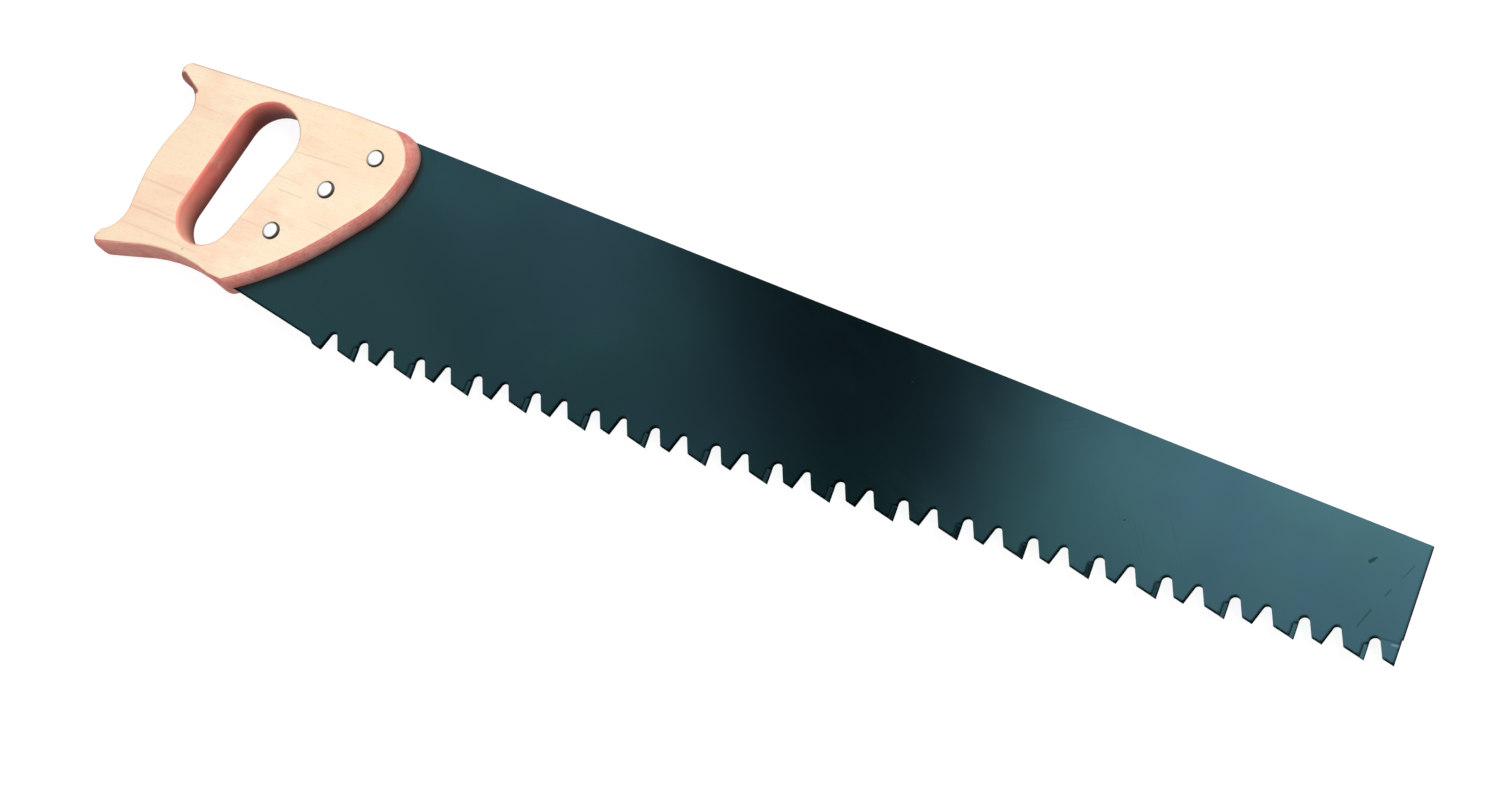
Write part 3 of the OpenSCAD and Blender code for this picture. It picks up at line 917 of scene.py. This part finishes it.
    def _edge(self, tree: Tree, wood: Wood) -> Socket:
        """Colour of the stain on the shaped edges, with painted shade at their foot, in the corner
        with the blade and under the upper horn.

        Args:
            tree: the material's tree.
            wood: the patterns of the wood.

        Returns:
            The colour.
        """
        x, z, blotch = wood.x, wood.z, wood.blotch
        back = z.rise(*self.back_height) * x.rise(*self.back_from)
        dusty = z.rise(*self.dusty_height) * x.rise(*self.dusty_from)
        corner = z.rise(*self.corner_height) * z.rise(*self.corner_foot)
        return tree.layers(
            self.edge,
            (blotch.rise(*self.blotch_pale), 0.7, self.edge_pale),
            (tree.noise(wood.place, self.mottle), 0.34, self.edge_deep),
            (wood.fibre.rise(*self.fibre_dark), 0.22, self.edge_deep),
            # Painted shade at the foot of the edges
            (z.rise(*self.foot_height), 0.6, self.edge_foot_shade),
            (back, 0.45, self.edge_pale),
            (dusty * blotch.rise(*self.blotch_dusty), 0.6, self.edge_dusty),
            # Painted shade, nearly black, in the corner with the blade
            (corner * wood.side_x.rise(*self.corner_side), 0.6, self.deep_shade),
            # Painted shade under the upper horn's end
            (wood.horn.rise(*self.horn_dark), 0.7, self.deep_shade),
        )

    def _lining(self, tree: Tree, wood: Wood) -> Socket:
        """Colour of the stain in the hand hole, with painted shade darkest at its top end and
        towards the far face, and painted light towards its foot.

        Args:
            tree: the material's tree.
            wood: the patterns of the wood.

        Returns:
            The colour.
        """
        x, y, z, blotch = wood.x, wood.y, wood.z, wood.blotch
        height = z - y.rise(*self.deep_top) * self.deep_gain + blotch * self.deep_wander
        rubbed = tree.away(x, y, self.thumb_mark).rise(*self.rubbed_size)
        rubbed = rubbed * blotch.rise(*self.blotch_rubbed) * z.rise(*self.rubbed_height)
        return tree.layers(
            self.hole,
            (blotch.rise(*self.blotch_dark), 0.25, self.edge_deep),
            # Painted light: paler towards the hole's foot
            (y.rise(*self.pale_foot), 0.7, self.hole_rim_and_light),
            # Painted shade deep in the hole, reaching higher at its top end
            (height.rise(*self.deep_height), 1.0, self.deep_shade),
            (rubbed, 0.5, self.edge_pale),
        )

    def _stained(self, tree: Tree, wood: Wood, inside: Value) -> Value:
        """How much stain there is: on what turns away from the face, and at the nose and horn.

        Args:
            tree: the material's tree.
            wood: the patterns of the wood.
            inside: how much a place belongs to the hand hole's lining.

        Returns:
            The amount of stain.
        """
        x, y = wood.x, wood.y
        lee = wood.side_x.rise(*self.lee_side) * self.lee
        crest = wood.side_y.rise(*self.crest_side) * x.rise(*self.crest_from) * self.crest
        outer = (wood.up + crest).rise(*self.edge_turn) * (1.0 - inside)
        lining = (wood.up + lee).rise(*self.lining_turn) * inside
        nose = (tree.away(x, y, self.nose_centre) - self.nose_radius).rise(*self.nose_rim)
        nose = nose * y.rise(*self.nose_height) * x.rise(*self.nose_front)
        return (outer + lining).at_least(nose).at_least(wood.horn.rise(*self.horn_stain))


@dataclass(frozen=True)
class Carbide(Finish):
    """Ground hard metal under the blade's lacquer, with a dark line of braze round each seat."""

    name: str = "carbide"
    colour: Colour = (0.052, 0.135, 0.158)
    bare: Colour = (0.110, 0.190, 0.210)
    cut: Colour = (0.006, 0.012, 0.014)
    seam: Colour = (0.006, 0.013, 0.016)
    grinding: Pattern = Pattern((300.0, 5200.0, 5200.0), 2.0, 0.6, 72.0)
    grains: Pattern = Pattern((5200.0, 5200.0, 5200.0), 1.0)
    wear: Pattern = Pattern((700.0, 700.0, 700.0), band=(0.58, 0.72))
    # The tips: the first one's front face, their pitch, their length and the top of their seats
    first_face: float = 0.0486
    pitch: float = 0.035
    length: float = 0.0022
    seat_top: float = -0.0769
    seam_from: Span = (0.0006, 0.00024)
    cut_from: Span = (0.97, 0.75)
    metal: float = 0.97
    roughness: float = 0.10
    relief: float = 0.000003

    def fill(self, tree: Tree) -> None:
        """Fills the material's nodes.

        Args:
            tree: the material's own tree, still empty.
        """
        place = tree.place()
        x, y, _ = tree.parts(place)
        ground, worn = tree.noise(place, self.grinding), tree.noise(place, self.wear)
        # Distance from the seat's back face, counted afresh for each tip
        turns = ((x - self.first_face + self.length) / self.pitch + 0.5).fraction()
        back = turns * self.pitch - self.pitch / 2
        top = self.seat_top - y
        seam = back.rise(*self.seam_from).at_least(top.rise(*self.seam_from) * 0.5)
        # Walls of the tips: nearly black as dark metal, and partly as painted shade
        cut = abs(tree.facing()[2]).rise(*self.cut_from)
        tree.surface(
            Base_Color=tree.layers(
                self.colour, (worn, 0.25, self.bare), (seam, 0.9, self.seam), (cut, 1.0, self.cut)
            ),
            Metallic=(self.metal - seam * 0.5) * (1.0 - cut),
            Roughness=self.roughness + ground * 0.02 + worn * 0.04 + seam * 0.2 + cut * 0.4,
            Specular_IOR_Level=0.0,
            Normal=tree.bump(ground * 0.7 + tree.noise(place, self.grains) * 0.3, self.relief),
        )


@dataclass(frozen=True)
class Steel(Finish):
    """Plated steel with lines left by turning round each fastener's axis, its near-white colour by
    default a painted reflection, and its dark rim and crescent painted shade and shadow.
    """

    name: str
    axes: tuple[Point, ...]
    # Near-white with little metal: a painted reflection of bright plated steel
    colour: Colour = (0.985, 0.980, 0.975)
    dull: Colour = (0.80, 0.79, 0.78)
    rim_shade: Colour = (0.058, 0.042, 0.032)
    polish: float = 0.34
    metal: float = 0.1
    # Lines of turning, in cells to the metre out from the axis and along it
    turning: Pattern = Pattern((5200.0, 900.0, 1.0), 2.0, 0.6)
    pitting: Pattern = Pattern((2300.0, 2300.0, 2300.0), 3.0, 0.65, band=(0.60, 0.74))
    haze: Pattern = Pattern((420.0, 420.0, 420.0), band=(0.45, 0.70))
    # The dark rim, a painted shade, which is stronger on the side that faces the toe and the teeth
    rim_radius: float = 0.0039
    rim_from: Span = (-0.0003, 0.0003)
    rim_base: float = 0.66
    rim_side: Point = (1.6, 0.8)
    rim_lean: Span = (-0.1, 0.5)
    rim_metal: float = 0.95
    # The painted shadow crescent, round a centre that lies off the axis
    dent: Point = (-0.0008, 0.0002)
    crescent_shadow: float = 0.95
    crescent_from: Span = (0.0001, 0.0005)
    relief: float = 0.000006

    def fill(self, tree: Tree) -> None:
        """Fills the material's nodes.

        Args:
            tree: the material's own tree, still empty.
        """
        place = tree.place()
        x, y, z = tree.parts(place)
        radius = tree.nearest(x, y, self.axes)
        rounds = tree.node("ShaderNodeCombineXYZ", inputs={0: radius, 1: z})
        turned = tree.noise(rounds.outputs[0], self.turning)
        pits, haze = tree.noise(place, self.pitting), tree.noise(place, self.haze)
        lean_x, lean_y, _ = tree.facing()
        lean = (lean_x * self.rim_side[0] - lean_y * self.rim_side[1]).rise(*self.rim_lean)
        rim_shade = (radius - self.rim_radius).rise(*self.rim_from)
        rim_shade = rim_shade * (self.rim_base + lean * (1.0 - self.rim_base))
        # The first head's painted shadow crescent is thinner than the others', because its own axis
        # counts too
        centres = [(x_axis + self.dent[0], y_axis + self.dent[1]) for x_axis, y_axis in self.axes]
        shade = tree.nearest(x, y, [self.axes[0], *centres]) - self.rim_radius
        rim_shade = rim_shade.at_least(shade.rise(*self.crescent_from) * self.crescent_shadow)
        dull = haze * 0.15 + pits * 0.2
        tree.surface(
            Base_Color=tree.layers(self.colour, (dull, 1.0, self.dull), (rim_shade, 1.0, self.rim_shade)),
            Metallic=self.metal + rim_shade * (self.rim_metal - self.metal) - pits * 0.1,
            Roughness=self.polish + turned * 0.06 + haze * 0.06 + pits * 0.12 - rim_shade * 0.1,
            Normal=tree.bump(turned * 0.5 - pits * 0.4, self.relief),
        )


@dataclass(frozen=True)
class FloorPaint(Finish):
    """Matt white studio floor that keeps the object's shadow and shows white to the camera."""

    name: str = "floor_paint"
    colour: Colour = (0.28, 0.28, 0.28)
    own_light: float = 0.85
    grain: Pattern = Pattern((60.0, 60.0, 60.0), 3.0)
    relief: float = 0.0001

    def fill(self, tree: Tree) -> None:
        """Fills the material's nodes.

        Args:
            tree: the material's own tree, still empty.
        """
        path = tree.node("ShaderNodeLightPath").outputs
        seen = Value(tree, path["Is Camera Ray"]).at_least(Value(tree, path["Is Glossy Ray"]))
        seen = seen.at_least(Value(tree, path["Is Transmission Ray"]))
        grain = tree.bump(tree.noise(tree.place(), self.grain), self.relief)
        matt = tree.node("ShaderNodeBsdfDiffuse", inputs={"Color": self.colour, "Normal": grain})
        inputs = {"Color": WHITE, "Strength": seen * self.own_light}
        glow = tree.node("ShaderNodeEmission", inputs=inputs)
        both = tree.node("ShaderNodeAddShader", inputs={0: matt.outputs[0], 1: glow.outputs[0]})
        tree.node("ShaderNodeOutputMaterial", inputs={"Surface": both.outputs[0]})


@dataclass
class Piece:
    """A group of the saw's CAD pieces that share one finish.

    Attributes:
        label: what the group is called in the log.
        nodes: names of the CAD pieces.
        finish: their finish.
        smooth_angle: the largest angle that is shaded smooth, in degrees.
        edge_break: width of the broken edges; 0 keeps them as they are.
        edge_steps: facets across a broken edge.
    """

    label: str
    nodes: tuple[str, ...]
    finish: Finish
    smooth_angle: float
    edge_break: float = 0.0
    edge_steps: int = 2

    def dress(self, objects: dict[str, bpy.types.Object]) -> None:
        """Gives each piece its finish, its broken edges and its smooth shading.

        Args:
            objects: the CAD pieces by name.
        """
        material = self.finish.material()
        for name in self.nodes:
            piece = objects[name]
            if not piece.data.materials:
                piece.data.materials.append(material)
            for i in range(len(piece.data.materials)):
                piece.data.materials[i] = material
            if self.edge_break:
                self._break_edges(piece)
            piece.modifiers.new("smooth", "NODES").node_group = smoothing(self.smooth_angle)
            log.info("%s: %s in %s", self.label, name, self.finish.name)

    def _break_edges(self, piece: bpy.types.Object) -> None:
        """Rounds the sharp edges a little, as tumbling or grinding does.

        Args:
            piece: the CAD piece.
        """
        bevel = piece.modifiers.new("edge_break", "BEVEL")
        bevel.width = self.edge_break
        bevel.segments = self.edge_steps
        bevel.limit_method = "ANGLE"
        bevel.angle_limit = math.radians(self.smooth_angle)
        bevel.use_clamp_overlap = True


def smoothing(angle: float) -> bpy.types.NodeTree:
    """Geometry nodes that shade smooth across edges up to an angle.

    Args:
        angle: the largest smooth angle in degrees.

    Returns:
        The node group, made once for each angle.
    """
    name = f"smooth_to_{angle:.0f}"
    if name in bpy.data.node_groups:
        return bpy.data.node_groups[name]
    group = bpy.data.node_groups.new(name, "GeometryNodeTree")
    for way in ("INPUT", "OUTPUT"):
        group.interface.new_socket("Geometry", in_out=way, socket_type="NodeSocketGeometry")
    tree = Tree(group)
    start = tree.node("NodeGroupInput").outputs[0]
    faces = tree.node("GeometryNodeSetShadeSmooth", {"domain": "FACE"}, {"Geometry": start})
    between = tree.node("GeometryNodeInputMeshEdgeAngle").outputs["Unsigned Angle"]
    sharp = tree.node(
        "FunctionNodeCompare",
        {"data_type": "FLOAT", "operation": "GREATER_THAN"},
        {0: between, 1: math.radians(angle)},
    )
    edges = tree.node(
        "GeometryNodeSetShadeSmooth",
        {"domain": "EDGE"},
        {"Geometry": faces.outputs[0], "Selection": sharp.outputs[0], "Shade Smooth": False},
    )
    tree.node("NodeGroupOutput", inputs={0: edges.outputs[0]})
    return group


@dataclass
class Saw:
    """The whole saw: its plate, tips, handle and three fasteners."""

    objects: dict[str, bpy.types.Object]
    bolts: int = 3
    pieces: list[Piece] = field(default_factory=list)

    def _axes(self) -> tuple[Point, ...]:
        """Finds the fasteners' axes from the CAD pieces.

        Returns:
            The place of each axis, seen from above.
        """
        axes = []
        for i in range(1, self.bolts + 1):
            low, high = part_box(f"handle_bolt_{i}")
            axes.append(((low.x + high.x) / 2, (low.y + high.y) / 2))
        return tuple(axes)

    def build(self) -> None:
        """Lists the groups of pieces with their finishes."""
        tips = tuple(sorted(n for n in self.objects if n.startswith("carbide_tip_")))
        heads = tuple(f"handle_bolt_{i}" for i in range(1, self.bolts + 1))
        nuts = tuple(f"handle_nut_{i}" for i in range(1, self.bolts + 1))
        axes = self._axes()
        nut_steel = Steel(
            "nut_steel",
            axes,
            colour=(0.62, 0.62, 0.61),
            dull=(0.34, 0.34, 0.33),
            rim_shade=(0.40, 0.40, 0.39),
            polish=0.3,
            metal=0.95,
        )
        self.pieces = [
            Piece("plate", ("blade",), BladePaint(), 25.0, 0.00006),
            Piece("tips", tips, Carbide(), 20.0, 0.00008),
            Piece("wood", ("handle",), Beech(), 32.0),
            Piece("bolts", heads, Steel("bolt_steel", axes), 20.0, 0.00012),
            Piece("nuts", nuts, nut_steel, 20.0, 0.0001),
        ]

    def dress(self) -> None:
        """Dresses every group."""
        for piece in self.pieces:
            piece.dress(self.objects)


@dataclass(frozen=True)
class Room:
    """The room that polished steel mirrors: a grey end, a dark screen and a white end.

    Its brightness follows the direction of the ray. The screen's spans and those called across are
    counted in its part along X, the others in its part along Y.
    """

    grey: float = 0.36
    # The screen's two sides across, and how much each of them leans
    screen_start: Span = (-0.388, -0.361)
    screen_end: Span = (-0.278, -0.310)
    lean_start: float = 0.7
    lean_end: float = 0.3
    lean_middle: float = 0.215
    lean_limit: float = 0.04
    # How dark the screen is, and how much darker it gets along
    dark: float = 0.88
    darker: float = 0.15
    darker_from: Span = (0.165, 0.228)
    # The white end, in two steps across
    white: float = 0.62
    white_across: Span = (-0.329, -0.231)
    whiter: float = 0.16
    whiter_across: Span = (-0.235, -0.150)
    white_low: float = 0.91
    white_gain: float = 0.10
    white_from: Span = (0.200, 0.238)
    # The wall beside the grey end, which only steep faces mirror
    wall: float = 0.75
    wall_across: Span = (-0.50, -0.72)
    low: float = 0.70
    gain: float = 0.45
    gain_from: Span = (0.185, 0.240)

    def brightness(self, across: Value, along: Value) -> Value:
        """Brightness of the room in a direction.

        Args:
            across: part of the direction along X.
            along: part of the direction along Y.

        Returns:
            The brightness.
        """
        lean = (along - self.lean_middle).at_least(-self.lean_limit).at_most(self.lean_limit)
        starts = (across + lean * self.lean_start).rise(*self.screen_start)
        ends = (across - lean * self.lean_end).rise(*self.screen_end)
        screen = starts * ends * (self.dark + along.rise(*self.darker_from) * self.darker)
        white = across.rise(*self.white_across) * self.white
        white = white + across.rise(*self.whiter_across) * self.whiter
        white = white * (self.white_low + along.rise(*self.white_from) * self.white_gain)
        fade = self.low + along.rise(*self.gain_from) * self.gain
        wall = across.rise(*self.wall_across) * self.wall
        return ((self.grey + white) * fade * (1.0 - screen) + wall).at_least(0.0)


@dataclass(frozen=True)
class Lamp:
    """A square soft lamp that faces the saw and shows in no reflection.

    Attributes:
        name: its name.
        place: where it stands.
        size: length of its side.
        power: its power in watts.
        aim: the place on the X axis that it points to.
    """

    name: str
    place: Triple
    size: float
    power: float
    aim: float = 0.25

    def build(self) -> None:
        """Makes the lamp."""
        data = bpy.data.lights.new(self.name, "AREA")
        data.size = self.size
        data.energy = self.power
        lamp = bpy.data.objects.new(self.name, data)
        lamp.location = self.place
        away = lamp.location.copy()
        away.x -= self.aim
        lamp.rotation_euler = away.to_track_quat("Z", "Y").to_euler()
        lamp.visible_glossy = False
        bpy.context.scene.collection.objects.link(lamp)
        log.info("lamp: %s, %.0f W", self.name, self.power)


@dataclass
class Studio:
    """Floor, lamps and surroundings."""

    floor_size: float = 14.0
    ambient: float = 0.36
    room: Room = Room()
    lamps: tuple[Lamp, ...] = (
        Lamp("key", (1.5, 1.1, 2.1), 1.6, 56.0),
        Lamp("fill", (-0.2, -1.9, 1.9), 2.2, 26.0),
    )

    def build(self) -> None:
        """Makes the floor, the lamps and the world."""
        self._floor()
        for lamp in self.lamps:
            lamp.build()
        self._world()

    def _floor(self) -> None:
        """A wide floor that the saw lies on."""
        half = self.floor_size / 2
        mesh = bpy.data.meshes.new("floor")
        mesh.from_pydata(
            [(-half, -half, 0.0), (half, -half, 0.0), (half, half, 0.0), (-half, half, 0.0)],
            [],
            [(0, 1, 2, 3)],
        )
        floor = bpy.data.objects.new("floor", mesh)
        bpy.context.scene.collection.objects.link(floor)
        mesh.materials.append(FloorPaint().material())
        log.info("floor: %.0f m wide", self.floor_size)

    def _world(self) -> None:
        """White to the camera, pale to matt surfaces, and the room to polished ones."""
        world = bpy.data.worlds.new("studio")
        bpy.context.scene.world = world
        world.use_nodes = True
        tree = Tree(world.node_tree)
        path = tree.node("ShaderNodeLightPath").outputs
        across, along, _ = tree.parts(tree.outward())
        polished = Value(tree, path["Is Glossy Ray"])
        seen = Value(tree, path["Is Camera Ray"]).at_least(Value(tree, path["Is Transmission Ray"]))
        strength = self.ambient * (1.0 - polished) + self.room.brightness(across, along) * polished
        strength = strength * (1.0 - seen) + seen
        light = tree.node("ShaderNodeBackground", inputs={"Color": WHITE, "Strength": strength})
        tree.node("ShaderNodeOutputWorld", inputs={"Surface": light.outputs[0]})


@dataclass
class PhotoCamera:
    """The photograph's camera, its angles in degrees, its lens and sensor in millimetres."""

    location: Triple = (0.91562, -0.41493, 1.62656)
    angles: Triple = (18.9596, 16.2213, 21.1054)
    lens: float = 83.4627
    sensor: float = 36.0
    near: float = 0.01
    far: float = 100.0

    def build(self) -> None:
        """Makes the camera and sets it as the scene's."""
        data = bpy.data.cameras.new("camera")
        data.lens = self.lens
        data.sensor_fit = "HORIZONTAL"
        data.sensor_width = self.sensor
        data.clip_start = self.near
        data.clip_end = self.far
        camera = bpy.data.objects.new("camera", data)
        camera.location = self.location
        camera.rotation_euler = Euler([math.radians(a) for a in self.angles], "XYZ")
        bpy.context.scene.collection.objects.link(camera)
        bpy.context.scene.camera = camera
        log.info("camera: %.1f mm", self.lens)


def main() -> None:
    """Dresses the saw and sets the studio."""
    logging.basicConfig(level=logging.INFO, format="%(name)s %(message)s")
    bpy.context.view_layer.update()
    bpy.context.scene.view_settings.view_transform = "Standard"
    PhotoCamera().build()
    Studio().build()
    saw = Saw(frame["nodes"])
    saw.build()
    saw.dress()


if __name__ == "__main__":
    main()
